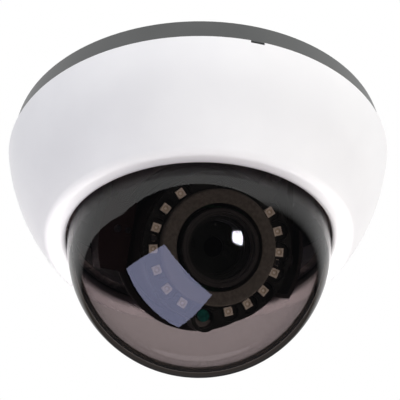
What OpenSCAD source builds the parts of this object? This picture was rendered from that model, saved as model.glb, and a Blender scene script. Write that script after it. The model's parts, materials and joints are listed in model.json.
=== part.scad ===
// Indoor infra-red dome camera, hung from a ceiling.
// The origin is the middle of the ceiling face. +Z points up into the ceiling, -Y is the front.
// Everything that tilts is drawn about the centre of the dome, where the two gimbal axes cross.

/* [Base] */
// Narrowing of the base's side, from the seam up to the ceiling
base_taper = 1.9; // [0:0.1:3]
// Step at the seam, by which the cover stands out from the base
seam_step = 0.3; // [0.1:0.05:1]
// Height of the base, from the ceiling to the seam
base_h = 8.8; // [7.5:0.1:11]
// Thickness of the base floor
floor_t = 2.4; // [1.6:0.1:3]
// Thickness of the base side wall
base_wall = 2.5; // [2:0.1:4]
// Height of the spigot that the cover slides over
spigot_h = 3.2; // [2:0.1:5]
// Wall of the spigot
spigot_t = 1.8; // [1.2:0.1:3]
// Circle of the four ceiling screws, diameter
ceiling_pcd = 104; // [98:1:108]
// Radius of the ceiling screw holes
ceiling_hole_r = 2.25; // [1.5:0.05:3]
// Distance of the cable hole behind the centre
cable_y = 47; // [44:0.5:50]
// Radius of the cable hole in the base floor
cable_hole_r = 8; // [5:0.5:9]

/* [Cover and dome] */
// Outer radius of the cover at its top edge
cover_r = 72.2; // [68:0.1:87]
// Depth from the ceiling to the lowest point of the cover
cover_depth = 46.8; // [44:0.1:57]
// Radius of the curve of the cover's side
cover_curve_r = 81.5; // [70:0.5:120]
// Width of the rim around the opening, up to the rounding of its edge
rim_w = 9.4; // [8.5:0.1:12]
// Radius of the rounded outer edge of the rim
rim_round = 4; // [2.5:0.1:5]
// Radius of the rounded edge of the opening
lip_round = 1.9; // [0.8:0.1:2.5]
// Thickness of the cover's shell
cover_t = 2.2; // [1.6:0.1:3]
// Outer radius of the dome
dome_r = 48.4; // [47:0.1:58.5]
// Wall of the dome
dome_t = 2; // [1.5:0.1:3]
// Height of the straight skirt above the dome's centre
skirt_h = 6; // [4.5:0.1:7]
// Width of the dome's flange beyond its wall
flange_w = 4; // [3:0.1:4.5]
// Thickness of the dome's flange
flange_t = 2; // [1.2:0.1:3]
// Gap between the dome and the cover's opening
dome_gap = 0.7; // [0.3:0.05:1]
// Thickness of the rubber gasket under the dome's flange
gasket_t = 0.8; // [0.5:0.1:1.2]
// Thickness of the ring that holds the dome
dome_ring_t = 2; // [1.5:0.1:3]

/* [Pan and tilt] */
// Way the lens points, turned from the front towards +X
pan = 18; // [0:1:40]
// Angle of the lens below the horizontal
tilt = 34.4; // [20:0.1:60]
// Turn of the lens module about its own axis
spin = -1.5; // [-30:0.5:30]
// Radius of the pan bearing
hub_r = 13; // [10:0.5:14]
// Width of the turntable outside the yoke arms
turntable_edge = 1.8; // [0.8:0.1:3]
// Thickness of the turntable
turntable_t = 2.6; // [2:0.1:4]
// Gap between the cradle's rim and a yoke arm
arm_gap = 1.5; // [1.2:0.1:2]
// Thickness of a yoke arm
arm_t = 2.3; // [1.8:0.1:2.6]
// Radius of the arm's end around the tilt pivot
arm_end_r = 3.6; // [3.2:0.1:3.7]
// Radius of the tilt pivot
pivot_r = 1.5; // [1.2:0.1:1.8]
// Radial clearance of every bearing
running_gap = 0.05; // [0.02:0.01:0.1]

/* [Cradle] */
// Width of the cradle's rim around the module's housing
cradle_rim_w = 5.8; // [5:0.1:6.5]
// Thickness of the cradle's wall
cradle_t = 2.2; // [1.6:0.1:2.6]
// Depth of the cradle behind its rim
cradle_depth = 14; // [12:0.5:16]
// Space from a yoke arm to the outside of the ear around it
ear_space = 3.6; // [3.4:0.1:5]
// Thickness of the ears' walls
ear_t = 1.4; // [1:0.1:1.5]
// Height of the ears above the tilt axis
ear_up = 11.5; // [9:0.5:13]
// Height of the ears below the tilt axis
ear_down = 14; // [12:0.5:15]

/* [Lens module] */
// Step from the bezel's outside in to the module's housing
housing_step = 1.3; // [1:0.1:1.6]
// Wall of the housing
housing_t = 1.8; // [1.2:0.1:2.2]
// Radius of the neck that turns in the cradle
neck_r = 10; // [8:0.5:12]
// Height of the LED faces in front of the tilt axis
led_h = 25; // [23:0.5:30]
// Distance from the foam light shield to the middle of the LEDs
led_gap = 2.4; // [2:0.1:3]
// Number of LEDs on each side
leds_per_side = 7; // [5:1:7]
// Angle of the first LED from the light sensor
led_first = 21.6; // [20:0.1:24]
// Angle between two LEDs
led_step = 18.7; // [17:0.1:19]
// Side of a square LED
led_size = 3; // [2.4:0.1:3.2]
// Width of the bezel outside the middle of the LEDs
bezel_edge = 3.9; // [3.7:0.1:4.6]
// Height of the bezel's wall beyond its face
bezel_wall_h = 2; // [1:0.1:3]
// Width of the foam light shield
shield_w = 5; // [4:0.1:5.5]
// Gap between the lens barrel and the foam light shield
shield_gap = 1.6; // [1:0.1:2.5]
// Length of the foam light shield
shield_h = 5; // [3:0.5:6]

/* [Lens] */
// Radius of the front glass
glass_r = 11.2; // [10:0.1:13.5]
// Wall of the lens barrel around the front glass
barrel_wall = 2.8; // [2:0.1:3.4]
// Reach of the lens barrel in front of the LED faces
barrel_reach = 5.4; // [4:0.1:8]
// Height of the front glass at its middle above its edge
glass_rise = 3; // [1.5:0.1:4]

/* [Hidden] */

$fn = 96;
eps = 0.01;

// Small screws: head, shank, the hole that takes the thread and the hole it passes through
screw_head_r = 1.9;
screw_shank_r = 0.88;
thread_hole_r = 0.9;
clear_hole_r = 1.2;

// Radii from the lens outwards: each one carries the next.
barrel_r = glass_r + barrel_wall;
tube_r = glass_r - 0.3;
lens_ring_r = barrel_r - 0.4;
shield_bore_r = barrel_r + shield_gap;
shield_r = shield_bore_r + shield_w;
led_ring_r = shield_r + led_gap;
bezel_r = led_ring_r + bezel_edge;
housing_r = bezel_r - housing_step;
housing_inner_r = housing_r - housing_t;
cradle_r = housing_r + cradle_rim_w;
arm_x = cradle_r + arm_gap;
ear_r = arm_x + arm_t + ear_space;
turntable_r = arm_x + arm_t + turntable_edge;

// The dome's centre is level with the lowest point of the cover.
centre_z = -cover_depth;
opening_r = dome_r + dome_gap;
rim_r = opening_r + rim_w;
flange_r = dome_r + flange_w;
flange_z = centre_z + skirt_h - flange_t;
seat_z = flange_z - gasket_t;
dome_ring_r = flange_r + 4.5;
dome_boss_r = 2.6;
dome_boss_circle = flange_r + dome_boss_r + 0.2;
dome_hole_r = 0.9;
dome_clear_r = 1.2;
dome_ring_holes = [45, 135, 225, 315];

// The cover fits over the spigot and meets the base at the seam.
seam_gap = 0.15;
seam_r = cover_r - seam_step;
base_r = seam_r - base_taper;
cover_top_z = -base_h - seam_gap;
// Notch at the seam, where a screwdriver prises the cover off
pry_angle = 17;
pry_w = 5;
spigot_r = seam_r - 3.4;
spigot_gap = 0.3;
cover_curve_end_z = centre_z + 3.4;
cover_curve_centre = arc_centre([cover_r, cover_top_z], [rim_r, cover_curve_end_z], cover_curve_r);
rim_dir_y = cover_curve_centre[1] - (centre_z + rim_round);
rim_dir_x = sqrt(pow(cover_curve_r - rim_round, 2) - pow(rim_dir_y, 2));
rim_centre = [cover_curve_centre[0] + rim_dir_x, centre_z + rim_round];
rim_tangent_z = cover_curve_centre[1] - rim_dir_y * cover_curve_r / (cover_curve_r - rim_round);

// Pan bearing
hub_outer_r = hub_r + 6;
centre_hole_r = hub_r - 6.5;
hub_z = -base_h - 0.2;
retainer_r = hub_r + 4;
retainer_recess = 3;
retainer_t = 1.8;
turntable_z = hub_z - 0.1;
turntable_low_z = turntable_z - turntable_t;
arm_foot_t = 2;
arm_foot_w = 20;
arm_foot_l = 8;
foot_screw_l = arm_foot_t + 2;
arm_screw_x = arm_x - 3.6;
arm_screw_y = 6.5;
retainer_screw_circle = hub_r - 3.5;

// Base details
board_z = -5.2;
board_t = 1.6;
board_x = -(turntable_r + 14);
board_w = 20;
board_l = 38;
board_post_r = 2.6;
board_screw_y = 15.5;
conduit_w = 16;
conduit_h = 5.6;
seal_w = 3;
seal_depth = 1;
grommet_lip = 2.4;

// Cradle, seen along the lens axis: the rim is at height rim_h
rim_h = 1;
cradle_floor_t = 2;
cradle_floor_h = rim_h - cradle_depth;
housing_floor_h = -8.6;
housing_floor_t = 2;
thrust_h = housing_floor_h - 0.1;
ear_plate_h = 4.8;
ear_plate_t = 1.4;
ear_inner_x = cradle_r - 3.8;
ear_wall_t = 2;
ear_back_h = -8;
ear_screw_x = [ear_inner_x + 1, ear_inner_x + 4.8];
ear_screw_y = 1;
ear_screw_head_r = [1.1, 1.35];
ear_screw_shank_r = 0.55;
ear_screw_hole_r = 0.6;
trunnion_r = 4.7;
washer_t = 0.5;
washer_r = 3.5;
thread_gap = 0.02;

// Module: heights along the lens axis
bezel_face_h = led_h - 0.8;
bezel_face_t = 0.5;
led_board_t = 1.2;
led_board_h = bezel_face_h - bezel_face_t - led_board_t;
housing_top_h = led_board_h;
led_t = led_h - led_board_h - led_board_t;
led_scallop_r = 3.5;
screw_well_r = 2.6;
led_window = led_size + 0.5;
// The two bezel screws sit midway between two LEDs.
bezel_screw_angle = led_first + led_step * (floor(leds_per_side / 2) + 0.5);
bezel_screw_hole_r = 0.9;
led_angles = [
  for (side = [-1, 1], k = [0 : leds_per_side - 1]) side * (led_first + led_step * k)
];
sensor_boss_y = led_ring_r + 2.3;
sensor_boss_r = 4.85;
sensor_bore_r = 3.4;
sensor_disc_r = 2.3;
sensor_disc_y = led_ring_r + 1.2;
sensor_boss_back_h = 17.5;
bezel_hole_r = shield_r + 0.25;
sensor_board_h = -4.6;
sensor_board_t = 1.6;
sensor_board_size = (housing_inner_r - 1.17) * sqrt(2);
sensor_post = sensor_board_size / 2 - 3;
mount_h = 6.5;
mount_r = 9;
mount_bore_r = 6.95;
filter_size = 9.6;
filter_seat = 2.9;
tube_back_h = 6.5;
zoom_ring_h = 10.2;
focus_ring_h = 16.2;
lens_ring_l = 5.4;
front_barrel_h = 22;
barrel_front_h = led_h + barrel_reach;
tube_front_h = front_barrel_h + 2;
barrel_groove_r = glass_r + 1.1;
grip_grooves = 28;
zoom_lock_angle = 15.5 * 360 / grip_grooves;
focus_lock_angle = 26.5 * 360 / grip_grooves;
lock_shank_r = 0.8;
lock_head_r = 1.8;
lock_head_l = 2.6;
lock_reach = lens_ring_r + 4.7;

// ---------- helpers ----------

// Centre of the arc of radius r that joins p to q and bulges away from the axis
function arc_centre(p, q, r) =
  let (mid = (p + q) / 2, half = norm(q - p) / 2, dir = (q - p) / norm(q - p))
  mid + sqrt(r * r - half * half) * [dir[1], -dir[0]];

module ring(r_out, r_in, z, h) {
  translate([0, 0, z])
    difference() {
      cylinder(r = r_out, h = h);
      translate([0, 0, -eps])
        cylinder(r = r_in, h = h + 2 * eps);
    }
}

// Pan head screw: its head sits on z = 0 and its shank points down
module screw(head_r, head_h, shank_r, shank_l) {
  slot = head_r * 0.32;
  difference() {
    union() {
      cylinder(r = head_r, h = head_h * 0.6);
      translate([0, 0, head_h * 0.6])
        cylinder(r1 = head_r, r2 = head_r * 0.72, h = head_h * 0.4);
    }
    translate([0, 0, head_h])
      for (turn = [0, 90])
        rotate([0, 0, turn])
          cube([head_r * 1.3, slot, head_h], center = true);
  }
  translate([0, 0, -shank_l])
    cylinder(r = shank_r, h = shank_l + eps);
}

module pan_frame() {
  rotate([0, 0, pan])
    children();
}

// Local Z is the lens axis, local X the tilt axis, local Y up on the lens face
module tilt_frame() {
  translate([0, 0, centre_z])
    rotate([0, 0, pan])
      rotate([90 + tilt, 0, 0])
        children();
}

module module_frame() {
  tilt_frame()
    rotate([0, 0, spin])
      children();
}

// Places its children at a radius and an angle counted from straight down the lens face
module on_face(radius, angle) {
  rotate([0, 0, angle])
    translate([0, -radius, 0])
      children();
}

// ---------- base ----------

module base_outline() {
  difference() {
    polygon([[0, 0], [base_r, 0], [seam_r, -base_h], [0, -base_h]]);
    translate([-eps, -base_h - eps])
      square([seam_r - base_wall - spigot_t + eps, base_h - floor_t + eps]);
  }
  translate([spigot_r - spigot_t, -base_h - spigot_h])
    square([spigot_t, base_h + spigot_h - floor_t]);
  translate([0, hub_z])
    square([hub_outer_r, -hub_z - floor_t + eps]);
}

module ceiling_holes() {
  for (turn = [45 : 90 : 315])
    rotate([0, 0, turn])
      translate([ceiling_pcd / 2, 0, -floor_t - 1])
        cylinder(r = ceiling_hole_r, h = floor_t + 2);
}

module board_posts(r, z, h) {
  for (side = [-1, 1])
    translate([board_x, side * board_screw_y, z])
      cylinder(r = r, h = h);
}

module base_plate() {
  color([0.16, 0.165, 0.165])
    difference() {
      union() {
        rotate_extrude()
          base_outline();
        board_posts(board_post_r, board_z, -board_z - floor_t + eps);
      }
      translate([0, 0, hub_z - 1])
        cylinder(r = hub_r, h = -hub_z + 2);
      translate([0, 0, -retainer_recess])
        cylinder(r = retainer_r + 0.6, h = retainer_recess + 1);
      ring(base_r - 1.2, base_r - 1.2 - seal_w, -seal_depth, seal_depth + 1);
      ceiling_holes();
      translate([0, cable_y, -floor_t - 1])
        cylinder(r = cable_hole_r, h = floor_t + 2);
      translate([-conduit_w / 2, base_r - 8, -floor_t - conduit_h])
        cube([conduit_w, 12, conduit_h]);
      board_posts(thread_hole_r, board_z - 1, 3.4);
    }
}

module base_seal() {
  color([0.12, 0.12, 0.12])
    ring(base_r - 1.3, base_r - 1.1 - seal_w, -seal_depth, seal_depth);
}

module cable_grommet() {
  color([0.09, 0.09, 0.09])
    translate([0, cable_y, 0])
      difference() {
        union() {
          translate([0, 0, -floor_t - 1])
            cylinder(r = cable_hole_r - 0.02, h = floor_t + 0.8);
          translate([0, 0, -floor_t - 1.6])
            cylinder(r = cable_hole_r + grommet_lip, h = 1.5);
        }
        translate([0, 0, -floor_t - 3])
          cylinder(r = cable_hole_r - grommet_lip, h = floor_t + 6);
      }
}

// Fills the notch in the side wall; it is snapped out for a surface conduit
module conduit_plug() {
  plug_w = conduit_w - 0.3;
  plug_h = conduit_h - 0.3;
  color([0.18, 0.185, 0.185])
    intersection() {
      translate([-plug_w / 2, base_r - 8, -floor_t - 0.15 - plug_h])
        cube([plug_w, 14, plug_h]);
      rotate_extrude()
        polygon([
          [base_r - 5, 0], [base_r - 0.1, 0], [seam_r - 0.1, -base_h], [base_r - 5, -base_h]
        ]);
    }
}

module power_board() {
  color([0.05, 0.28, 0.12])
    difference() {
      translate([board_x - board_w / 2 + 3, -board_l / 2, board_z - board_t])
        cube([board_w - 3, board_l, board_t]);
      board_posts(clear_hole_r, board_z - board_t - 1, board_t + 2);
      pan_clearance(turntable_r + 1.2);
    }
}

// Keeps the board clear of the turntable's edge
module pan_clearance(r) {
  translate([0, 0, -base_h - 6])
    cylinder(r = r, h = base_h + 6);
}

module power_board_screws() {
  color([0.75, 0.75, 0.77])
    for (side = [-1, 1])
      translate([board_x, side * board_screw_y, board_z - board_t])
        rotate([180, 0, 0])
          screw(2.1, 1.4, screw_shank_r, board_t + 1.6);
}

module terminal_block() {
  block = [8, 10.4, 7];
  color([0.1, 0.42, 0.2])
    translate([board_x - 4, 0, board_z - board_t - block[2]])
      difference() {
        translate([0, -block[1] / 2, 0])
          cube(block);
        for (side = [-1, 1])
          translate([block[0] / 2, side * block[1] / 4, -eps])
            cylinder(r = 1.7, h = 2.4);
      }
}

module video_socket() {
  socket = [7, 6.6, 5.2];
  color([0.93, 0.92, 0.88])
    translate([board_x - 3.4, 6.1, board_z - board_t - socket[2]])
      difference() {
        cube(socket);
        translate([1, 1, -eps])
          cube([socket[0] - 2, socket[1] - 2, socket[2] - 1.2]);
      }
}

module board_capacitors() {
  color([0.1, 0.12, 0.2])
    for (place = [[-4.5, -8.6, 2.4, 7], [1.6, -9.2, 2, 5.4]])
      translate([board_x + place[0] + 2.6, place[1], board_z - board_t - place[3]])
        cylinder(r = place[2], h = place[3]);
}

// ---------- pan ----------

module turntable() {
  color([0.07, 0.07, 0.07])
    pan_frame()
      difference() {
        union() {
          translate([0, 0, turntable_low_z])
            cylinder(r = turntable_r, h = turntable_t);
          translate([0, 0, turntable_z - eps])
            cylinder(r = hub_r - running_gap, h = -turntable_z - retainer_recess);
        }
        translate([0, 0, turntable_low_z - 1])
          cylinder(r = centre_hole_r, h = -turntable_low_z + 2);
        for (turn = [0, 120, 240])
          rotate([0, 0, turn])
            translate([retainer_screw_circle, 0, -retainer_recess - 5])
              cylinder(r = thread_hole_r, h = 6);
        yoke_screw_places()
          cylinder(r = thread_hole_r, h = 4 * turntable_t, center = true);
      }
}

module pan_retainer() {
  color([0.62, 0.62, 0.64])
    pan_frame()
      translate([0, 0, -retainer_recess + 0.05])
        difference() {
          cylinder(r = retainer_r, h = retainer_t);
          translate([0, 0, -1])
            cylinder(r = centre_hole_r, h = retainer_t + 2);
          for (turn = [0, 120, 240])
            rotate([0, 0, turn])
              translate([retainer_screw_circle, 0, -1])
                cylinder(r = clear_hole_r, h = retainer_t + 2);
        }
}

module pan_retainer_screws() {
  color([0.75, 0.75, 0.77])
    pan_frame()
      for (turn = [0, 120, 240])
        rotate([0, 0, turn])
          translate([retainer_screw_circle, 0, -retainer_recess + 0.05 + retainer_t])
            screw(screw_head_r, 0.95, screw_shank_r, retainer_t + 4);
}

module yoke_screw_places() {
  for (side = [-1, 1], end = [-1, 1])
    translate([side * arm_screw_x, end * arm_screw_y, turntable_low_z])
      children();
}

// An arm hangs from the turntable; its foot points inwards
module yoke_arm() {
  foot_z = turntable_low_z - arm_foot_t;
  difference() {
    union() {
      translate([arm_x, 0, 0])
        rotate([90, 0, 90])
          linear_extrude(arm_t)
            union() {
              translate([0, centre_z])
                circle(r = arm_end_r);
              polygon([
                [-arm_end_r, centre_z], [arm_end_r, centre_z],
                [arm_foot_w / 2, turntable_low_z], [-arm_foot_w / 2, turntable_low_z]
              ]);
            }
      translate([arm_x - arm_foot_l, -arm_foot_w / 2, foot_z])
        cube([arm_foot_l + arm_t, arm_foot_w, arm_foot_t]);
    }
    translate([arm_x - 1, 0, centre_z])
      rotate([0, 90, 0])
        cylinder(r = pivot_r + running_gap, h = arm_t + 2);
    for (end = [-1, 1])
      translate([arm_screw_x, end * arm_screw_y, foot_z - 1])
        cylinder(r = clear_hole_r, h = arm_foot_t + 2);
  }
}

module yoke_arm_left() {
  color([0.06, 0.055, 0.055])
    pan_frame()
      rotate([0, 0, 180])
        yoke_arm();
}

module yoke_arm_right() {
  color([0.06, 0.055, 0.055])
    pan_frame()
      yoke_arm();
}

module yoke_screws() {
  color([0.75, 0.75, 0.77])
    pan_frame()
      yoke_screw_places()
        translate([0, 0, -arm_foot_t])
          rotate([180, 0, 0])
            screw(screw_head_r, 1.2, screw_shank_r, foot_screw_l);
}

// ---------- tilt ----------

module cradle_cup_section() {
  back_r = cradle_r - 3.4;
  difference() {
    polygon([
      [neck_r + running_gap, cradle_floor_h], [back_r - 3, cradle_floor_h],
      [back_r, cradle_floor_h + 3], [cradle_r, rim_h - 2], [cradle_r, rim_h - 0.5], [cradle_r - 0.5, rim_h],
      [neck_r + running_gap, rim_h]
    ]);
    polygon([
      [0, cradle_floor_h + cradle_floor_t], [back_r - 3, cradle_floor_h + cradle_floor_t],
      [back_r - cradle_t, cradle_floor_h + 4], [cradle_r - cradle_t, rim_h - 2],
      [cradle_r - cradle_t, rim_h + 1], [0, rim_h + 1]
    ]);
  }
  translate([neck_r + running_gap, cradle_floor_h])
    square([3.5, thrust_h - cradle_floor_h]);
}

// Outer wall and bottom flange of one ear; side is -1 for the left ear and 1 for the right
module ear(side) {
  wall_l = ear_plate_h - ear_back_h;
  intersection() {
    ring(ear_r, ear_r - ear_t, ear_back_h, wall_l);
    translate([side > 0 ? arm_x : -arm_x - 20, -ear_down, ear_back_h - 1])
      cube([20, ear_down + ear_up, wall_l + 2]);
  }
  intersection() {
    cylinder(r = ear_r, h = 40, center = true);
    translate([side > 0 ? ear_inner_x : -ear_inner_x - 20, -ear_down, ear_back_h])
      cube([20, ear_t, wall_l]);
  }
  intersection() {
    cylinder(r = ear_r, h = 40, center = true);
    translate([0, 0, ear_back_h])
      linear_extrude(1.6)
        polygon([
          [side * (ear_r + 1), -ear_down],
          [side * (ear_r - 5.5), -ear_down],
          [side * (ear_r + 1), -ear_down + 9]
        ]);
  }
  // Inner wall, with the trunnion that takes the tilt screw
  translate([side > 0 ? ear_inner_x : -ear_inner_x - ear_wall_t, -ear_down, thrust_h])
    cube([ear_wall_t, ear_down + ear_up, ear_plate_h - thrust_h]);
  rotate([0, side * 90, 0])
    translate([0, 0, ear_inner_x])
      cylinder(r = trunnion_r, h = arm_x - washer_t - ear_inner_x - running_gap);
}

module cradle() {
  color([0.05, 0.045, 0.045])
    tilt_frame()
      difference() {
        union() {
          rotate_extrude()
            cradle_cup_section();
          for (side = [-1, 1])
            ear(side);
          ear_plate_shelf();
        }
        for (side = [-1, 1])
          rotate([0, side * 90, 0])
            translate([0, 0, ear_inner_x - 1])
              cylinder(r = pivot_r + thread_gap, h = 10);
        cylinder(r = neck_r + running_gap, h = 60, center = true);
        translate([0, 0, thrust_h])
          cylinder(r = housing_r + 0.6, h = 40);
        for (x = ear_screw_x)
          translate([-x, ear_screw_y, ear_plate_h - 1.2])
            cylinder(r = ear_screw_hole_r, h = 3);
      }
}

// Shelf on the left ear that takes the plate's outer screw; the yoke arm ends below it
module ear_plate_shelf() {
  shelf_t = 1;
  shelf_w = 3.6;
  translate([-ear_screw_x[1] - 2.1, ear_screw_y - shelf_w / 2, ear_plate_h - shelf_t])
    cube([ear_screw_x[1] + 2.1 - ear_inner_x, shelf_w, shelf_t]);
}

module tilt_washers() {
  color([0.85, 0.85, 0.8])
    tilt_frame()
      for (side = [-1, 1])
        rotate([0, side * 90, 0])
          ring(washer_r, pivot_r + 0.1, arm_x - washer_t - thread_gap, washer_t);
}

module tilt_screws() {
  color([0.7, 0.7, 0.72])
    tilt_frame()
      for (side = [-1, 1])
        rotate([0, side * 90, 0])
          translate([0, 0, arm_x + arm_t + 0.05])
            screw(2.6, 1.2, pivot_r, arm_t + arm_x - ear_inner_x - 0.6);
}

module ear_plate() {
  color([0.06, 0.05, 0.05])
    tilt_frame()
      difference() {
        intersection() {
          cylinder(r = ear_r, h = 40);
          translate([-ear_r, -ear_down, ear_plate_h])
            cube([ear_r - ear_inner_x + 0.6, ear_down + ear_up, ear_plate_t]);
        }
        for (x = ear_screw_x)
          translate([-x, ear_screw_y, ear_plate_h - 1])
            cylinder(r = ear_screw_hole_r + 0.2, h = 4);
      }
}

module ear_plate_screws() {
  color([0.7, 0.7, 0.7])
    tilt_frame()
      for (k = [0, 1])
        translate([-ear_screw_x[k], ear_screw_y, ear_plate_h + ear_plate_t])
          screw(ear_screw_head_r[k], 0.9, ear_screw_shank_r, ear_plate_t + 0.6);
}

// ---------- lens module ----------

module module_housing() {
  color([0.045, 0.045, 0.045])
    module_frame()
      difference() {
        union() {
          translate([0, 0, housing_floor_h])
            cylinder(r = housing_r, h = housing_top_h - housing_floor_h);
          translate([0, 0, cradle_floor_h - 2.4])
            cylinder(r = neck_r, h = housing_floor_h - cradle_floor_h + 2.5);
        }
        difference() {
          translate([0, 0, housing_floor_h + housing_floor_t])
            cylinder(r = housing_inner_r, h = 60);
          sensor_posts(2.4, sensor_board_h);
        }
        translate([0, 0, -40])
          cylinder(r = neck_r - 2, h = 40);
        ring(neck_r + 1, neck_r - 0.8, cradle_floor_h - 1.4, 1.2);
        sensor_screw_holes(thread_hole_r, housing_floor_h + 0.8, 20);
      }
}

module sensor_posts(r, top_h) {
  for (x = [-1, 1], y = [-1, 1])
    translate([x * sensor_post, y * sensor_post, housing_floor_h])
      cylinder(r = r, h = top_h - housing_floor_h);
}

module sensor_screw_holes(r, z, h) {
  for (x = [-1, 1], y = [-1, 1])
    translate([x * sensor_post, y * sensor_post, z])
      cylinder(r = r, h = h);
}

// Spring clip in the groove behind the cradle
module rotation_clip() {
  color([0.65, 0.65, 0.66])
    module_frame()
      difference() {
        ring(neck_r + 3, neck_r - 0.75, cradle_floor_h - 1.3, 1);
        translate([-2.5, -neck_r - 6, cradle_floor_h - 2])
          cube([5, neck_r, 3]);
      }
}

module sensor_board() {
  color([0.04, 0.22, 0.1])
    module_frame()
      difference() {
        translate([-sensor_board_size / 2, -sensor_board_size / 2, sensor_board_h])
          cube([sensor_board_size, sensor_board_size, sensor_board_t]);
        sensor_screw_holes(clear_hole_r, sensor_board_h - 1, sensor_board_t + 2);
      }
}

module sensor_board_screws() {
  color([0.7, 0.7, 0.72])
    module_frame()
      for (x = [-1, 1], y = [-1, 1])
        translate([x * sensor_post, y * sensor_post, sensor_board_h + sensor_board_t])
          screw(screw_head_r, 1.2, screw_shank_r, sensor_board_t + 2);
}

module image_sensor() {
  color([0.2, 0.2, 0.24])
    module_frame()
      translate([-5, -4.4, sensor_board_h + sensor_board_t])
        cube([10, 8.8, 1.3]);
}

module lens_mount() {
  mount_back_h = sensor_board_h + sensor_board_t;
  color([0.07, 0.07, 0.07])
    module_frame()
      difference() {
        union() {
          translate([0, 0, mount_back_h])
            cylinder(r = mount_r, h = mount_h);
          translate([-10, -7.5, mount_back_h])
            cube([20, 15, 2.4]);
        }
        translate([0, 0, mount_back_h + filter_seat])
          cylinder(r = mount_bore_r, h = mount_h);
        translate([-5.2, -4.6, mount_back_h - 1])
          cube([10.4, 9.2, 5]);
      }
}

module ir_cut_filter() {
  color([0.5, 0.2, 0.25])
    module_frame()
      translate([-filter_size / 2, -filter_size / 2, sensor_board_h + sensor_board_t + filter_seat])
        cube([filter_size, filter_size, 0.8]);
}

module lens_tube() {
  thread_h = sensor_board_h + sensor_board_t + 3.9;
  color([0.08, 0.08, 0.08])
    module_frame()
      difference() {
        union() {
          translate([0, 0, thread_h])
            cylinder(r = mount_bore_r - running_gap, h = tube_back_h - thread_h + eps);
          translate([0, 0, tube_back_h])
            cylinder(r = lens_ring_r, h = zoom_ring_h - tube_back_h - 0.2);
          translate([0, 0, tube_back_h])
            cylinder(r = tube_r, h = tube_front_h - tube_back_h);
        }
        translate([0, 0, thread_h - 1])
          cylinder(r = 4.6, h = 60);
        translate([0, 0, tube_back_h + 2])
          cylinder(r = tube_r - 1.4, h = 60);
      }
}

// A biconvex glass of radius r: rise_front and rise_back are its two bulges
module glass(r, rise_front, rise_back, edge) {
  smooth = 1440;
  front_r = (r * r + rise_front * rise_front) / (2 * rise_front);
  back_r = (r * r + rise_back * rise_back) / (2 * rise_back);
  rotate_extrude()
    intersection() {
      translate([0, -rise_back])
        square([r, rise_back + edge + rise_front]);
      translate([0, edge + rise_front - front_r])
        circle(r = front_r, $fn = smooth);
      translate([0, back_r - rise_back])
        circle(r = back_r, $fn = smooth);
    }
}

module rear_lens_group() {
  color([0.6, 0.7, 0.75, 0.5])
    module_frame() {
      translate([0, 0, tube_back_h - 2.6])
        glass(4.5, 0.6, 0.6, 1.4);
      translate([0, 0, tube_back_h + 3.4])
        glass(tube_r - 1.45, 0.9, 0.7, 1.6);
      translate([0, 0, tube_back_h + 8.6])
        glass(tube_r - 1.45, 0.9, 0.7, 1.6);
    }
}

// Grooved ring with a threaded hole for its lock screw
module grip_ring(z, lock_angle) {
  difference() {
    ring(lens_ring_r, tube_r + running_gap, z, lens_ring_l);
    for (k = [0 : grip_grooves - 1])
      rotate([0, 0, k * 360 / grip_grooves])
        translate([lens_ring_r + 0.35, 0, z - 1])
          cylinder(r = 0.7, h = lens_ring_l + 2);
    rotate([0, 0, lock_angle])
      translate([0, 0, z + lens_ring_l / 2])
        rotate([0, 90, 0])
          cylinder(r = lock_shank_r + thread_gap, h = lens_ring_r + 1);
  }
}

module zoom_ring() {
  color([0.07, 0.07, 0.07])
    module_frame()
      grip_ring(zoom_ring_h, zoom_lock_angle);
}

module focus_ring() {
  color([0.07, 0.07, 0.07])
    module_frame()
      grip_ring(focus_ring_h, focus_lock_angle);
}

// Thumb screw that locks a lens ring; it stands out sideways
module ring_lock(z, angle) {
  rotate([0, 0, angle])
    translate([0, 0, z + lens_ring_l / 2])
      rotate([0, 90, 0]) {
        translate([0, 0, tube_r + 0.3])
          cylinder(r = lock_shank_r, h = lock_reach - tube_r - 0.8);
        translate([0, 0, lock_reach - lock_head_l])
          cylinder(r = lock_head_r, h = lock_head_l);
      }
}

module zoom_lock() {
  color([0.6, 0.6, 0.62])
    module_frame()
      ring_lock(zoom_ring_h, zoom_lock_angle);
}

module focus_lock() {
  color([0.6, 0.6, 0.62])
    module_frame()
      ring_lock(focus_ring_h, focus_lock_angle);
}

module front_barrel() {
  lip = 0.35;
  body_h = barrel_front_h - front_barrel_h;
  color([0.09, 0.09, 0.085])
    module_frame()
      rotate_extrude()
        difference() {
          polygon([
            [tube_r + 0.02, front_barrel_h], [lens_ring_r, front_barrel_h], [barrel_r, front_barrel_h + 1],
            [barrel_r, barrel_front_h - lip], [barrel_r - lip, barrel_front_h],
            [barrel_groove_r, barrel_front_h], [barrel_groove_r, barrel_front_h - 2.4],
            [glass_r + 0.05, barrel_front_h - 2.4], [glass_r + 0.05, front_barrel_h + 3.6],
            [glass_r - 1.2, front_barrel_h + 3.6], [glass_r - 1.2, tube_front_h + 0.05],
            [tube_r + 0.02, tube_front_h + 0.05]
          ]);
          translate([barrel_r + 0.25, front_barrel_h + body_h * 0.55])
            circle(r = 0.5);
        }
}

module aperture_ring() {
  color([0.02, 0.02, 0.02])
    module_frame()
      ring(tube_r - 1.45, 3.6, tube_back_h + 12.4, 1.2);
}

module lens_retainer() {
  color([0.05, 0.05, 0.05])
    module_frame()
      ring(barrel_groove_r - 0.05, glass_r + 0.1, barrel_front_h - 2.35, 0.9);
}

module front_lens() {
  color([0.55, 0.6, 0.62, 0.5])
    module_frame()
      translate([0, 0, front_barrel_h + 4.6])
        glass(glass_r, glass_rise, 0.9, barrel_front_h - front_barrel_h - 4.6 - 2.0);
}

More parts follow.
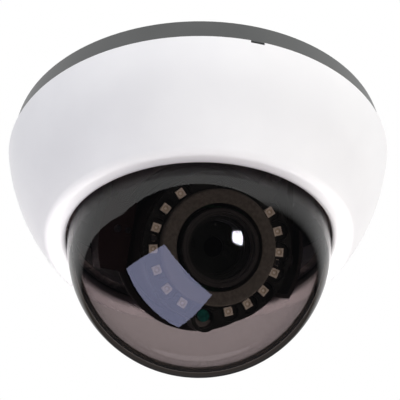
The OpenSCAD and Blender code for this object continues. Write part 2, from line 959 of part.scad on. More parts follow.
module light_shield() {
  shield_back_h = led_board_h + led_board_t;
  color([0.26, 0.25, 0.22])
    module_frame()
      difference() {
        ring(shield_r, shield_bore_r, shield_back_h, shield_h);
        translate([0, 0, shield_back_h + shield_h - 0.5])
          difference() {
            cylinder(r = shield_r + 1, h = 2);
            translate([0, 0, -eps])
              cylinder(r1 = shield_r, r2 = shield_r - 0.6, h = 0.6);
          }
      }
}

module led_board() {
  color([0.03, 0.05, 0.04])
    module_frame()
      difference() {
        ring(housing_r, shield_bore_r + 0.2, led_board_h, led_board_t);
        on_face(sensor_disc_y, 0)
          translate([0, 0, led_board_h - 1])
            cylinder(r = sensor_disc_r + 0.4, h = led_board_t + 2);
        for (side = [-1, 1])
          on_face(led_ring_r, side * bezel_screw_angle)
            translate([0, 0, led_board_h - 1])
              cylinder(r = bezel_screw_hole_r, h = led_board_t + 2);
      }
}

// A square package with a round well and a clear pad in it
module led() {
  difference() {
    translate([-led_size / 2, -led_size / 2, 0])
      cube([led_size, led_size, led_t]);
    translate([0, 0, led_t - 0.45])
      cylinder(r1 = led_size * 0.3, r2 = led_size * 0.4, h = 0.5);
    translate([led_size / 2, led_size / 2, led_t - 0.3])
      cube([0.9, 0.9, 1], center = true);
  }
}

module ir_leds() {
  color([0.86, 0.8, 0.64])
    module_frame()
      for (angle = led_angles)
        on_face(led_ring_r, angle)
          translate([0, 0, led_board_h + led_board_t])
            led();
}

// Open floor of the bezel: a round well around each LED and each screw
module bezel_wells() {
  circle(r = bezel_hole_r + 0.9);
  for (angle = led_angles)
    on_face(led_ring_r, angle)
      circle(r = led_scallop_r);
  for (side = [-1, 1])
    on_face(led_ring_r, side * bezel_screw_angle)
      circle(r = screw_well_r);
}

module bezel_windows() {
  circle(r = bezel_hole_r);
  for (angle = led_angles)
    on_face(led_ring_r, angle)
      square(led_window, center = true);
  for (side = [-1, 1])
    on_face(led_ring_r, side * bezel_screw_angle)
      circle(r = bezel_screw_hole_r);
}

module led_bezel() {
  wall_top_h = bezel_face_h + bezel_wall_h;
  skirt_back_h = led_board_h - 3;
  color([0.04, 0.04, 0.04])
    module_frame()
      difference() {
        union() {
          translate([0, 0, skirt_back_h])
            cylinder(r = bezel_r, h = wall_top_h - skirt_back_h);
          on_face(sensor_boss_y, 0)
            translate([0, 0, sensor_boss_back_h])
              cylinder(r = sensor_boss_r, h = wall_top_h + 0.4 - sensor_boss_back_h);
        }
        translate([0, 0, sensor_boss_back_h - 1])
          cylinder(r = housing_r + 0.1, h = bezel_face_h - bezel_face_t - sensor_boss_back_h + 1);
        translate([0, 0, bezel_face_h])
          linear_extrude(10)
            bezel_wells();
        translate([0, 0, bezel_face_h - 5])
          linear_extrude(10)
            bezel_windows();
        on_face(sensor_boss_y, 0)
          cylinder(r = sensor_bore_r, h = 40);
      }
}

module bezel_screws() {
  color([0.8, 0.8, 0.8])
    module_frame()
      for (side = [-1, 1])
        on_face(led_ring_r, side * bezel_screw_angle)
          translate([0, 0, bezel_face_h])
            screw(1.25, 0.8, 0.7, bezel_face_t + led_board_t + 3);
}

// Crescent in the boss, outside the housing, that closes the light sensor's recess
module light_sensor_seat() {
  color([0.3, 0.3, 0.28])
    module_frame()
      difference() {
        on_face(sensor_boss_y, 0)
          translate([0, 0, sensor_boss_back_h + 0.5])
            cylinder(r = sensor_bore_r - 0.05, h = bezel_face_h - 2.2 - sensor_boss_back_h);
        cylinder(r = housing_r + 0.15, h = led_h);
      }
}

module light_sensor() {
  color([0.05, 0.42, 0.36])
    module_frame()
      on_face(sensor_disc_y + 0.25, 0)
        translate([0, 0, bezel_face_h - 1.7])
          cylinder(r = sensor_disc_r - 0.1, h = 1.5);
}

// ---------- cover ----------

module cover_section() {
  inner_curve_r = cover_curve_r - cover_t;
  difference() {
    union() {
      intersection() {
        translate(cover_curve_centre)
          circle(r = cover_curve_r, $fn = 360);
        translate([opening_r, rim_tangent_z])
          square([cover_r, cover_top_z - rim_tangent_z]);
      }
      translate(rim_centre)
        circle(r = rim_round);
      translate([opening_r, centre_z + lip_round])
        square([rim_centre[0] - opening_r + 1, rim_tangent_z - centre_z - lip_round + eps]);
      translate([opening_r + lip_round, centre_z])
        square([rim_centre[0] - opening_r - lip_round, lip_round + eps]);
      translate([opening_r + lip_round, centre_z + lip_round])
        circle(r = lip_round);
    }
    intersection() {
      translate(cover_curve_centre)
        circle(r = inner_curve_r, $fn = 360);
      translate([0, seat_z])
        square([cover_r + 10, cover_top_z - seat_z + 1]);
    }
    translate([0, seat_z])
      square([flange_r + 1, cover_top_z - seat_z + 1]);
    translate([0, cover_top_z - spigot_h - 0.4])
      square([spigot_r + spigot_gap, spigot_h + 2]);
  }
}

module cover_shell() {
  color([0.93, 0.93, 0.95])
    difference() {
      union() {
        rotate_extrude()
          cover_section();
        for (turn = dome_ring_holes)
          rotate([0, 0, turn])
            translate([dome_boss_circle, 0, seat_z - eps])
              cylinder(r = dome_boss_r, h = flange_z + flange_t - seat_z);
      }
      for (turn = dome_ring_holes)
        rotate([0, 0, turn])
          translate([dome_boss_circle, 0, seat_z - 1])
            cylinder(r = dome_hole_r, h = 20);
      rotate([0, 0, pry_angle])
        translate([0, -cover_r, cover_top_z])
          cube([pry_w, 3, 1.8], center = true);
    }
}

module dome_gasket() {
  color([0.85, 0.85, 0.82])
    ring(flange_r, opening_r + 0.4, seat_z, gasket_t);
}

module dome_section() {
  inner_r = dome_r - dome_t;
  difference() {
    union() {
      intersection() {
        circle(r = dome_r, $fn = 360);
        translate([0, -dome_r - 1])
          square([dome_r + 1, dome_r + 1]);
      }
      square([dome_r, skirt_h]);
      translate([0, skirt_h - flange_t])
        square([flange_r, flange_t]);
    }
    circle(r = inner_r, $fn = 360);
    square([inner_r, skirt_h + 1]);
  }
}

module dome() {
  color([0.35, 0.3, 0.28, 0.5])
    translate([0, 0, centre_z])
      rotate_extrude()
        dome_section();
}

module dome_ring() {
  color([0.93, 0.93, 0.95])
    difference() {
      ring(dome_ring_r, dome_r - dome_t + 0.4, flange_z + flange_t, dome_ring_t);
      for (turn = dome_ring_holes)
        rotate([0, 0, turn])
          translate([dome_boss_circle, 0, flange_z])
            cylinder(r = dome_clear_r, h = 10);
    }
}

module dome_ring_screws() {
  color([0.75, 0.75, 0.77])
    for (turn = dome_ring_holes)
      rotate([0, 0, turn])
        translate([dome_boss_circle, 0, flange_z + flange_t + dome_ring_t])
          screw(2, 1.3, screw_shank_r, dome_ring_t + 2.4);
}

base_plate();
base_seal();
cable_grommet();
conduit_plug();
power_board();
power_board_screws();
terminal_block();
video_socket();
board_capacitors();
turntable();
pan_retainer();
pan_retainer_screws();
yoke_arm_left();
yoke_arm_right();
yoke_screws();
cradle();
tilt_washers();
tilt_screws();
ear_plate();
ear_plate_screws();
module_housing();
rotation_clip();
sensor_board();
sensor_board_screws();
image_sensor();
lens_mount();
ir_cut_filter();
lens_tube();
rear_lens_group();
zoom_ring();
zoom_lock();
focus_ring();
focus_lock();
front_barrel();
aperture_ring();
lens_retainer();
front_lens();
light_shield();
led_board();
ir_leds();
led_bezel();
bezel_screws();
light_sensor();
light_sensor_seat();
cover_shell();
dome_gasket();
dome();
dome_ring();
dome_ring_screws();
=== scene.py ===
import bpy
import json
import math
from mathutils import Matrix, Vector


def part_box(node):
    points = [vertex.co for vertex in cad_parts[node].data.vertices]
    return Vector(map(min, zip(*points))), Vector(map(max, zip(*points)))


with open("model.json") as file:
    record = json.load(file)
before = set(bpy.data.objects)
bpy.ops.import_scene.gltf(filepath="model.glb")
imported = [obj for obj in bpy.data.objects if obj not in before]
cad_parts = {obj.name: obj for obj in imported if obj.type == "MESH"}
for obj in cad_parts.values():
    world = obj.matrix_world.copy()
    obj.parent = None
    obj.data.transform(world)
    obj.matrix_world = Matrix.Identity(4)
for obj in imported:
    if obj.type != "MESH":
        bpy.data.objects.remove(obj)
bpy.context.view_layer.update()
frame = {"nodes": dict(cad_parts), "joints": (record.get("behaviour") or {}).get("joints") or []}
nodes = frame["nodes"]


# Where the lens face sits: its axis and the tilt axis come from the joints
def lensFrame(spin):
    joints = {joint["name"]: joint for joint in frame["joints"]}
    axis = Vector(joints["module_turn"]["axis"]).normalized()
    across = Vector(joints["tilt_turn"]["axis"]).normalized()
    up = axis.cross(across)
    turned = Matrix((across, up, axis)).transposed().to_4x4()
    spun = Matrix.Rotation(math.radians(spin), 4, "Z")
    return Matrix.Translation(joints["module_turn"]["pos_m"]) @ turned @ spun


moduleSpin = -1.5  # degrees that the module is turned from upright
facePlace = lensFrame(moduleSpin)
faceSpot = facePlace.translation
faceTurn = facePlace.to_euler()

view = {
    "spot": (0, -0.4404, -0.3459),
    "rise": 35.99,  # degrees that the camera looks up
    "roll": 0.62,
    "lens": 130.1,
    "shift": 0.0039,
    "sensor": 36,
    "nearest": 0.01,
}


def setCamera(v):
    data = bpy.data.cameras.new("photoCamera")
    camera = bpy.data.objects.new("photoCamera", data)
    bpy.context.scene.collection.objects.link(camera)
    rise, roll = math.radians(v["rise"]), math.radians(v["roll"])
    forward = Vector((0, math.cos(rise), math.sin(rise)))
    up = Vector((0, -math.sin(rise), math.cos(rise)))
    right = Vector((1, 0, 0))
    tiltedRight = right * math.cos(roll) - up * math.sin(roll)
    tiltedUp = up * math.cos(roll) + right * math.sin(roll)
    turn = Matrix((tiltedRight, tiltedUp, -forward)).transposed().to_4x4()
    camera.matrix_world = Matrix.Translation(v["spot"]) @ turn
    data.sensor_width = v["sensor"]
    data.lens = v["lens"]
    data.shift_x = v["shift"]
    data.clip_start = v["nearest"]
    bpy.context.scene.camera = camera


setCamera(view)
bpy.context.scene.view_settings.view_transform = "Standard"
print("camera set")


def put(tree, kind, place, **settings):
    node = tree.nodes.new(kind)
    node.location = place
    for name, value in settings.items():
        setattr(node, name, value)
    return node


def wire(tree, source, target):
    tree.links.new(source, target)


def newGroup(name, inputs, outputs):
    group = bpy.data.node_groups.new(name, "ShaderNodeTree")
    for label, kind, value in inputs:
        socket = group.interface.new_socket(name=label, in_out="INPUT", socket_type=kind)
        if value is not None:
            socket.default_value = value
    for label, kind in outputs:
        group.interface.new_socket(name=label, in_out="OUTPUT", socket_type=kind)
    return group, put(group, "NodeGroupInput", (-900, 0)), put(group, "NodeGroupOutput", (700, 0))


def mathNode(tree, work, place, first, second=None):
    node = put(tree, "ShaderNodeMath", place, operation=work)
    for index, value in enumerate((first, second)):
        if value is None:
            continue
        if isinstance(value, (int, float)):
            node.inputs[index].default_value = value
        else:
            wire(tree, value, node.inputs[index])
    return node.outputs[0]


def remap(tree, value, low, high, toLow, toHigh, place):
    node = put(tree, "ShaderNodeMapRange", place, interpolation_type="SMOOTHSTEP")
    wire(tree, value, node.inputs["Value"])
    for label, number in (("From Min", low), ("From Max", high), ("To Min", toLow), ("To Max", toHigh)):
        if isinstance(number, (int, float)):
            node.inputs[label].default_value = number
        else:
            wire(tree, number, node.inputs[label])
    return node.outputs["Result"]


# Fine skin of moulded plastic: a grain, soft cloudy gloss and a few dust specks
def mouldedSkinGroup():
    group, start, end = newGroup(
        "mouldedSkin",
        [("Vector", "NodeSocketVector", None), ("Grain", "NodeSocketFloat", 2600.0),
         ("Cloud", "NodeSocketFloat", 60.0), ("Dust", "NodeSocketFloat", 0.1)],
        [("Height", "NodeSocketFloat"), ("Tone", "NodeSocketFloat"), ("Specks", "NodeSocketFloat")],
    )
    grain = put(group, "ShaderNodeTexNoise", (-600, 300), noise_dimensions="3D")
    grain.inputs["Detail"].default_value = 2.0
    cloud = put(group, "ShaderNodeTexNoise", (-600, 0), noise_dimensions="3D")
    cloud.inputs["Detail"].default_value = 4.0
    specks = put(group, "ShaderNodeTexVoronoi", (-600, -300), feature="F1")
    specks.inputs["Scale"].default_value = 520.0
    for node in (grain, cloud, specks):
        wire(group, start.outputs["Vector"], node.inputs["Vector"])
    wire(group, start.outputs["Grain"], grain.inputs["Scale"])
    wire(group, start.outputs["Cloud"], cloud.inputs["Scale"])
    near = remap(group, specks.outputs["Distance"], 0.04, 0.16, 1.0, 0.0, (-300, -300))
    picked = put(group, "ShaderNodeSeparateColor", (-300, -500))
    wire(group, specks.outputs["Color"], picked.inputs["Color"])
    share = mathNode(group, "LESS_THAN", (-100, -500), picked.outputs["Red"], start.outputs["Dust"])
    wire(group, grain.outputs["Fac"], end.inputs["Height"])
    wire(group, cloud.outputs["Fac"], end.inputs["Tone"])
    wire(group, mathNode(group, "MULTIPLY", (100, -300), near, share), end.inputs["Specks"])
    return group


# Fine turned rings about the local Z axis, as a lathe leaves them
def turnedRingsGroup():
    group, start, end = newGroup(
        "turnedRings",
        [("Vector", "NodeSocketVector", None), ("Rings", "NodeSocketFloat", 3000.0)],
        [("Height", "NodeSocketFloat"), ("Tone", "NodeSocketFloat")],
    )
    split = put(group, "ShaderNodeSeparateXYZ", (-700, 0))
    wire(group, start.outputs["Vector"], split.inputs[0])
    flat = put(group, "ShaderNodeCombineXYZ", (-550, 0))
    wire(group, split.outputs["X"], flat.inputs["X"])
    wire(group, split.outputs["Y"], flat.inputs["Y"])
    length = put(group, "ShaderNodeVectorMath", (-400, 0), operation="LENGTH")
    wire(group, flat.outputs[0], length.inputs[0])
    angle = mathNode(group, "MULTIPLY", (-200, 0), length.outputs["Value"], start.outputs["Rings"])
    wave = mathNode(group, "SINE", (0, 0), angle)
    noise = put(group, "ShaderNodeTexNoise", (-200, -250), noise_dimensions="1D")
    noise.inputs["Scale"].default_value = 1.0
    noise.inputs["Detail"].default_value = 3.0
    along = mathNode(group, "MULTIPLY", (-400, -250), length.outputs["Value"], 900.0)
    wire(group, along, noise.inputs["W"])
    wire(group, wave, end.inputs["Height"])
    wire(group, noise.outputs["Fac"], end.inputs["Tone"])
    return group


# Long fine hairlines left by a cleaning cloth
def wipeMarksGroup():
    group, start, end = newGroup(
        "wipeMarks",
        [("Vector", "NodeSocketVector", None), ("Stretch", "NodeSocketVector", (6.0, 60.0, 60.0)),
         ("Cut", "NodeSocketFloat", 0.7)],
        [("Mask", "NodeSocketFloat"), ("Haze", "NodeSocketFloat")],
    )
    bend = put(group, "ShaderNodeTexNoise", (-750, -200))
    bend.inputs["Scale"].default_value = 9.0
    wire(group, start.outputs["Vector"], bend.inputs["Vector"])
    bent = put(group, "ShaderNodeVectorMath", (-550, 0), operation="MULTIPLY_ADD")
    wire(group, bend.outputs["Color"], bent.inputs[0])
    bent.inputs[1].default_value = (0.03, 0.03, 0.03)
    wire(group, start.outputs["Vector"], bent.inputs[2])
    long = put(group, "ShaderNodeVectorMath", (-400, 0), operation="MULTIPLY")
    wire(group, bent.outputs[0], long.inputs[0])
    wire(group, start.outputs["Stretch"], long.inputs[1])
    lines = put(group, "ShaderNodeTexNoise", (-250, 0))
    lines.inputs["Scale"].default_value = 6.0
    lines.inputs["Detail"].default_value = 5.0
    lines.inputs["Roughness"].default_value = 0.75
    wire(group, long.outputs[0], lines.inputs["Vector"])
    haze = put(group, "ShaderNodeTexNoise", (-250, -300))
    haze.inputs["Scale"].default_value = 35.0
    haze.inputs["Detail"].default_value = 3.0
    wire(group, start.outputs["Vector"], haze.inputs["Vector"])
    high = mathNode(group, "ADD", (-50, -150), start.outputs["Cut"], 0.08)
    mask = remap(group, lines.outputs["Fac"], start.outputs["Cut"], high, 0.0, 1.0, (100, 0))
    wire(group, mask, end.inputs["Mask"])
    wire(group, haze.outputs["Fac"], end.inputs["Haze"])
    return group


# Copper tracks and pads under solder mask, seen along the local Z axis
def boardTracksGroup():
    group, start, end = newGroup(
        "boardTracks",
        [("Vector", "NodeSocketVector", None), ("Pitch", "NodeSocketFloat", 900.0)],
        [("Tracks", "NodeSocketFloat"), ("Pads", "NodeSocketFloat")],
    )
    cells = put(group, "ShaderNodeTexVoronoi", (-600, 200), feature="DISTANCE_TO_EDGE")
    cells.inputs["Randomness"].default_value = 0.35
    wire(group, start.outputs["Vector"], cells.inputs["Vector"])
    coarse = mathNode(group, "MULTIPLY", (-750, 100), start.outputs["Pitch"], 0.35)
    wire(group, coarse, cells.inputs["Scale"])
    dots = put(group, "ShaderNodeTexVoronoi", (-600, -200), feature="F1")
    dots.inputs["Randomness"].default_value = 0.5
    wire(group, start.outputs["Vector"], dots.inputs["Vector"])
    wire(group, coarse, dots.inputs["Scale"])
    tracks = remap(group, cells.outputs["Distance"], 0.05, 0.08, 1.0, 0.0, (-200, 200))
    wire(group, tracks, end.inputs["Tracks"])
    pads = remap(group, dots.outputs["Distance"], 0.12, 0.16, 1.0, 0.0, (-200, -200))
    wire(group, pads, end.inputs["Pads"])
    return group


mouldedSkin = mouldedSkinGroup()
turnedRings = turnedRingsGroup()
wipeMarks = wipeMarksGroup()
boardTracks = boardTracksGroup()
print("shader groups built")


def blankMaterial(name):
    material = bpy.data.materials.new(name)
    material.use_nodes = True
    tree = material.node_tree
    tree.nodes.clear()
    return material, tree, put(tree, "ShaderNodeOutputMaterial", (900, 0))


def useGroup(tree, group, place, vector, **values):
    node = put(tree, "ShaderNodeGroup", place, node_tree=group)
    wire(tree, vector, node.inputs["Vector"])
    for label, value in values.items():
        node.inputs[label].default_value = value
    return node


# Object coordinates, or the same turned to the lens face, where Z is the lens axis
def surfacePlace(tree, onFace=False):
    coordinates = put(tree, "ShaderNodeTexCoord", (-1300, 0))
    if not onFace:
        return coordinates.outputs["Object"]
    turned = put(tree, "ShaderNodeMapping", (-1100, 0), vector_type="TEXTURE")
    turned.inputs["Location"].default_value = faceSpot
    turned.inputs["Rotation"].default_value = faceTurn
    wire(tree, coordinates.outputs["Object"], turned.inputs["Vector"])
    return turned.outputs[0]


def mixColours(tree, factor, first, second, place):
    node = put(tree, "ShaderNodeMix", place, data_type="RGBA")
    for index, value in ((0, factor), (6, first), (7, second)):
        if isinstance(value, (int, float)):
            node.inputs[index].default_value = value
        elif isinstance(value, (tuple, list)):
            node.inputs[index].default_value = (*value, 1.0)
        else:
            wire(tree, value, node.inputs[index])
    return node.outputs[2]


def bumpOf(tree, height, strength, depth, place):
    bump = put(tree, "ShaderNodeBump", place)
    bump.inputs["Strength"].default_value = strength
    bump.inputs["Distance"].default_value = depth
    wire(tree, height, bump.inputs["Height"])
    return bump.outputs["Normal"]


plasticFinishes = {
    "charcoalPlastic": {
        "colour": (0.052, 0.055, 0.055), "pale": (0.068, 0.071, 0.070),
        "rough": 0.42, "spread": 0.08, "coat": 0.0,
        "grain": 2200.0, "depth": 0.35, "cloud": 45.0, "dust": 0.05,
    },
    "whitePlastic": {
        "colour": (0.80, 0.80, 0.815), "pale": (0.86, 0.86, 0.87),
        "rough": 0.34, "spread": 0.06, "coat": 0.12,
        "grain": 1500.0, "depth": 0.10, "cloud": 22.0, "dust": 0.012,
    },
    "blackPlastic": {
        "colour": (0.012, 0.010, 0.010), "pale": (0.020, 0.017, 0.016),
        "rough": 0.42, "spread": 0.12, "coat": 0.0,
        "grain": 2400.0, "depth": 0.4, "cloud": 70.0, "dust": 0.10,
    },
    "bezelPlastic": {
        "colour": (0.010, 0.011, 0.010), "pale": (0.018, 0.020, 0.017),
        "rough": 0.30, "spread": 0.10, "coat": 0.0,
        "grain": 2600.0, "depth": 0.2, "cloud": 90.0, "dust": 0.08,
    },
    "earPlastic": {
        "colour": (0.014, 0.006, 0.006), "pale": (0.022, 0.010, 0.009),
        "rough": 0.48, "spread": 0.12, "coat": 0.0,
        "grain": 2400.0, "depth": 0.3, "cloud": 70.0, "dust": 0.06,
    },
    "greenPlastic": {
        "colour": (0.03, 0.24, 0.08), "pale": (0.05, 0.30, 0.11),
        "rough": 0.45, "spread": 0.08, "coat": 0.0,
        "grain": 1800.0, "depth": 0.2, "cloud": 60.0, "dust": 0.03,
    },
    "ivoryPlastic": {
        "colour": (0.74, 0.71, 0.62), "pale": (0.80, 0.78, 0.70),
        "rough": 0.42, "spread": 0.08, "coat": 0.0,
        "grain": 1800.0, "depth": 0.2, "cloud": 60.0, "dust": 0.02,
    },
    "nylon": {
        "colour": (0.70, 0.69, 0.63), "pale": (0.78, 0.77, 0.71),
        "rough": 0.38, "spread": 0.08, "coat": 0.0,
        "grain": 1200.0, "depth": 0.15, "cloud": 80.0, "dust": 0.02,
    },
    "greyCeramic": {
        "colour": (0.15, 0.145, 0.13), "pale": (0.24, 0.23, 0.21),
        "rough": 0.6, "spread": 0.1, "coat": 0.0,
        "grain": 3200.0, "depth": 0.35, "cloud": 160.0, "dust": 0.02,
    },
    "capacitorSleeve": {
        "colour": (0.018, 0.022, 0.055), "pale": (0.028, 0.034, 0.08),
        "rough": 0.25, "spread": 0.06, "coat": 0.2,
        "grain": 700.0, "depth": 0.1, "cloud": 60.0, "dust": 0.02,
    },
    "sensorChip": {
        "colour": (0.035, 0.035, 0.055), "pale": (0.055, 0.055, 0.08),
        "rough": 0.2, "spread": 0.05, "coat": 0.3,
        "grain": 3000.0, "depth": 0.1, "cloud": 200.0, "dust": 0.01,
    },
    "softRubber": {
        "colour": (0.016, 0.016, 0.016), "pale": (0.030, 0.030, 0.029),
        "rough": 0.62, "spread": 0.12, "coat": 0.0,
        "grain": 1700.0, "depth": 0.45, "cloud": 60.0, "dust": 0.12,
    },
    "clearSilicone": {
        "colour": (0.62, 0.62, 0.58), "pale": (0.72, 0.72, 0.68),
        "rough": 0.4, "spread": 0.1, "coat": 0.0,
        "grain": 1500.0, "depth": 0.15, "cloud": 60.0, "dust": 0.04,
    },
    "foamRubber": {
        "colour": (0.082, 0.079, 0.064), "pale": (0.125, 0.121, 0.100),
        "rough": 0.85, "spread": 0.06, "coat": 0.0,
        "grain": 2600.0, "depth": 0.9, "cloud": 900.0, "dust": 0.12,
    },
}


plasticSkin = {
    "settled": 0.35,  # how much of a dust speck's own colour shows
    "dustPale": 0.25,  # how much paler than the plastic the dust is
    "dustLimit": 0.9,
    "grainDepth": 0.00004,
    "coatRough": 0.12,
}


def plasticMaterial(name, finish, v):
    material, tree, out = blankMaterial(name)
    surface = put(tree, "ShaderNodeBsdfPrincipled", (550, 0))
    place = surfacePlace(tree)
    grain, cloud, dust = finish["grain"], finish["cloud"], finish["dust"]
    skin = useGroup(tree, mouldedSkin, (-800, 0), place, Grain=grain, Cloud=cloud, Dust=dust)
    tone = remap(tree, skin.outputs["Tone"], 0.3, 0.7, 0.0, 1.0, (-500, 200))
    body = mixColours(tree, tone, finish["colour"], finish["pale"], (-250, 250))
    dusty = mathNode(tree, "MULTIPLY", (-250, 0), skin.outputs["Specks"], v["settled"])
    pale = tuple(min(v["dustLimit"], v["dustPale"] + value) for value in finish["pale"])
    wire(tree, mixColours(tree, dusty, body, pale, (0, 250)), surface.inputs["Base Color"])
    low, high = finish["rough"] - finish["spread"] / 2, finish["rough"] + finish["spread"] / 2
    rough = remap(tree, skin.outputs["Tone"], 0.25, 0.75, low, high, (0, 0))
    wire(tree, rough, surface.inputs["Roughness"])
    bump = bumpOf(tree, skin.outputs["Height"], finish["depth"], v["grainDepth"], (250, -300))
    wire(tree, bump, surface.inputs["Normal"])
    surface.inputs["Coat Weight"].default_value = finish["coat"]
    surface.inputs["Coat Roughness"].default_value = v["coatRough"]
    wire(tree, surface.outputs[0], out.inputs["Surface"])
    return material


metalFinishes = {
    "steelScrews": {"colour": (0.55, 0.55, 0.56), "rough": 0.28, "grain": 5200.0},
    "brightScrews": {"colour": (0.88, 0.87, 0.84), "rough": 0.12, "grain": 7000.0},
    "steelPlate": {"colour": (0.50, 0.50, 0.52), "rough": 0.34, "grain": 2600.0},
}


metalSkin = {
    "cloud": 180.0,
    "dust": 0.05,
    "dull": 0.72,  # share of the colour left where the metal has dulled
    "spread": 0.14,
    "grain": 0.3,
    "grainDepth": 0.00002,
}


def metalMaterial(name, finish, v):
    material, tree, out = blankMaterial(name)
    surface = put(tree, "ShaderNodeBsdfPrincipled", (550, 0))
    surface.inputs["Metallic"].default_value = 1.0
    place = surfacePlace(tree)
    grain, cloud, dust = finish["grain"], v["cloud"], v["dust"]
    skin = useGroup(tree, mouldedSkin, (-800, 0), place, Grain=grain, Cloud=cloud, Dust=dust)
    tone = remap(tree, skin.outputs["Tone"], 0.3, 0.7, 0.0, 1.0, (-500, 200))
    dull = tuple(value * v["dull"] for value in finish["colour"])
    wire(tree, mixColours(tree, tone, finish["colour"], dull, (-250, 250)), surface.inputs["Base Color"])
    low, high = finish["rough"], finish["rough"] + v["spread"]
    rough = remap(tree, skin.outputs["Tone"], 0.25, 0.75, low, high, (0, 0))
    wire(tree, rough, surface.inputs["Roughness"])
    bump = bumpOf(tree, skin.outputs["Height"], v["grain"], v["grainDepth"], (250, -300))
    wire(tree, bump, surface.inputs["Normal"])
    wire(tree, surface.outputs[0], out.inputs["Surface"])
    return material


lensMetal = {
    "colour": (0.030, 0.030, 0.028),
    "worn": (0.060, 0.060, 0.055),
    "metal": 0.35,  # black anodised, so only part of it shines as metal
    "rough": 0.32,
    "smoother": 0.06,
    "rougher": 0.08,
    "rings": 9000.0,
    "turned": 0.25,
    "ringDepth": 0.00003,
}


def lensMetalMaterial(v):
    material, tree, out = blankMaterial("lensMetal")
    surface = put(tree, "ShaderNodeBsdfPrincipled", (550, 0))
    surface.inputs["Metallic"].default_value = v["metal"]
    place = surfacePlace(tree, onFace=True)
    rings = useGroup(tree, turnedRings, (-700, 0), place, Rings=v["rings"])
    tone = remap(tree, rings.outputs["Tone"], 0.35, 0.65, 0.0, 1.0, (-400, 200))
    wire(tree, mixColours(tree, tone, v["colour"], v["worn"], (-100, 200)), surface.inputs["Base Color"])
    low, high = v["rough"] - v["smoother"], v["rough"] + v["rougher"]
    rough = remap(tree, rings.outputs["Tone"], 0.3, 0.7, low, high, (-100, 0))
    wire(tree, rough, surface.inputs["Roughness"])
    bump = bumpOf(tree, rings.outputs["Height"], v["turned"], v["ringDepth"], (250, -300))
    wire(tree, bump, surface.inputs["Normal"])
    wire(tree, surface.outputs[0], out.inputs["Surface"])
    return material


boards = {
    "circuitBoard": {
        "mask": (0.008, 0.085, 0.030), "track": (0.020, 0.150, 0.055), "pad": (0.55, 0.50, 0.36),
    },
    "ledCircuitBoard": {
        "mask": (0.008, 0.011, 0.009), "track": (0.016, 0.021, 0.018), "pad": (0.02, 0.025, 0.02),
    },
}


boardSkin = {
    "pitch": 900.0,
    "maskRough": 0.28,
    "padRough": 0.42,
    "step": 0.5,
    "trackDepth": 0.00003,
    "coat": 0.2,
}


def boardMaterial(name, finish, v, onFace):
    material, tree, out = blankMaterial(name)
    surface = put(tree, "ShaderNodeBsdfPrincipled", (550, 0))
    place = surfacePlace(tree, onFace)
    tracks = useGroup(tree, boardTracks, (-800, 0), place, Pitch=v["pitch"])
    copper = mixColours(tree, tracks.outputs["Tracks"], finish["mask"], finish["track"], (-300, 250))
    padded = mixColours(tree, tracks.outputs["Pads"], copper, finish["pad"], (0, 250))
    wire(tree, padded, surface.inputs["Base Color"])
    rough = remap(tree, tracks.outputs["Pads"], 0.0, 1.0, v["maskRough"], v["padRough"], (0, 0))
    wire(tree, rough, surface.inputs["Roughness"])
    bump = bumpOf(tree, tracks.outputs["Tracks"], v["step"], v["trackDepth"], (250, -300))
    wire(tree, bump, surface.inputs["Normal"])
    surface.inputs["Coat Weight"].default_value = v["coat"]
    wire(tree, surface.outputs[0], out.inputs["Surface"])
    return material


photocell = {
    "resin": (0.012, 0.20, 0.155),
    "cell": (0.003, 0.09, 0.075),
    "grain": 3000.0,
    "cloud": 500.0,
    "dust": 0.02,
    "roughLow": 0.12,
    "roughHigh": 0.22,
    "relief": 0.15,
    "grainDepth": 0.00003,
    "coat": 0.6,
}


def photocellMaterial(v):
    material, tree, out = blankMaterial("photocell")
    surface = put(tree, "ShaderNodeBsdfPrincipled", (550, 0))
    place = surfacePlace(tree, onFace=True)
    grain, cloud, dust = v["grain"], v["cloud"], v["dust"]
    skin = useGroup(tree, mouldedSkin, (-800, 0), place, Grain=grain, Cloud=cloud, Dust=dust)
    tone = remap(tree, skin.outputs["Tone"], 0.35, 0.65, 0.0, 1.0, (-500, 200))
    wire(tree, mixColours(tree, tone, v["resin"], v["cell"], (-200, 250)), surface.inputs["Base Color"])
    rough = remap(tree, skin.outputs["Tone"], 0.3, 0.7, v["roughLow"], v["roughHigh"], (0, 0))
    wire(tree, rough, surface.inputs["Roughness"])
    bump = bumpOf(tree, skin.outputs["Height"], v["relief"], v["grainDepth"], (250, -300))
    wire(tree, bump, surface.inputs["Normal"])
    surface.inputs["Coat Weight"].default_value = v["coat"]
    wire(tree, surface.outputs[0], out.inputs["Surface"])
    return material


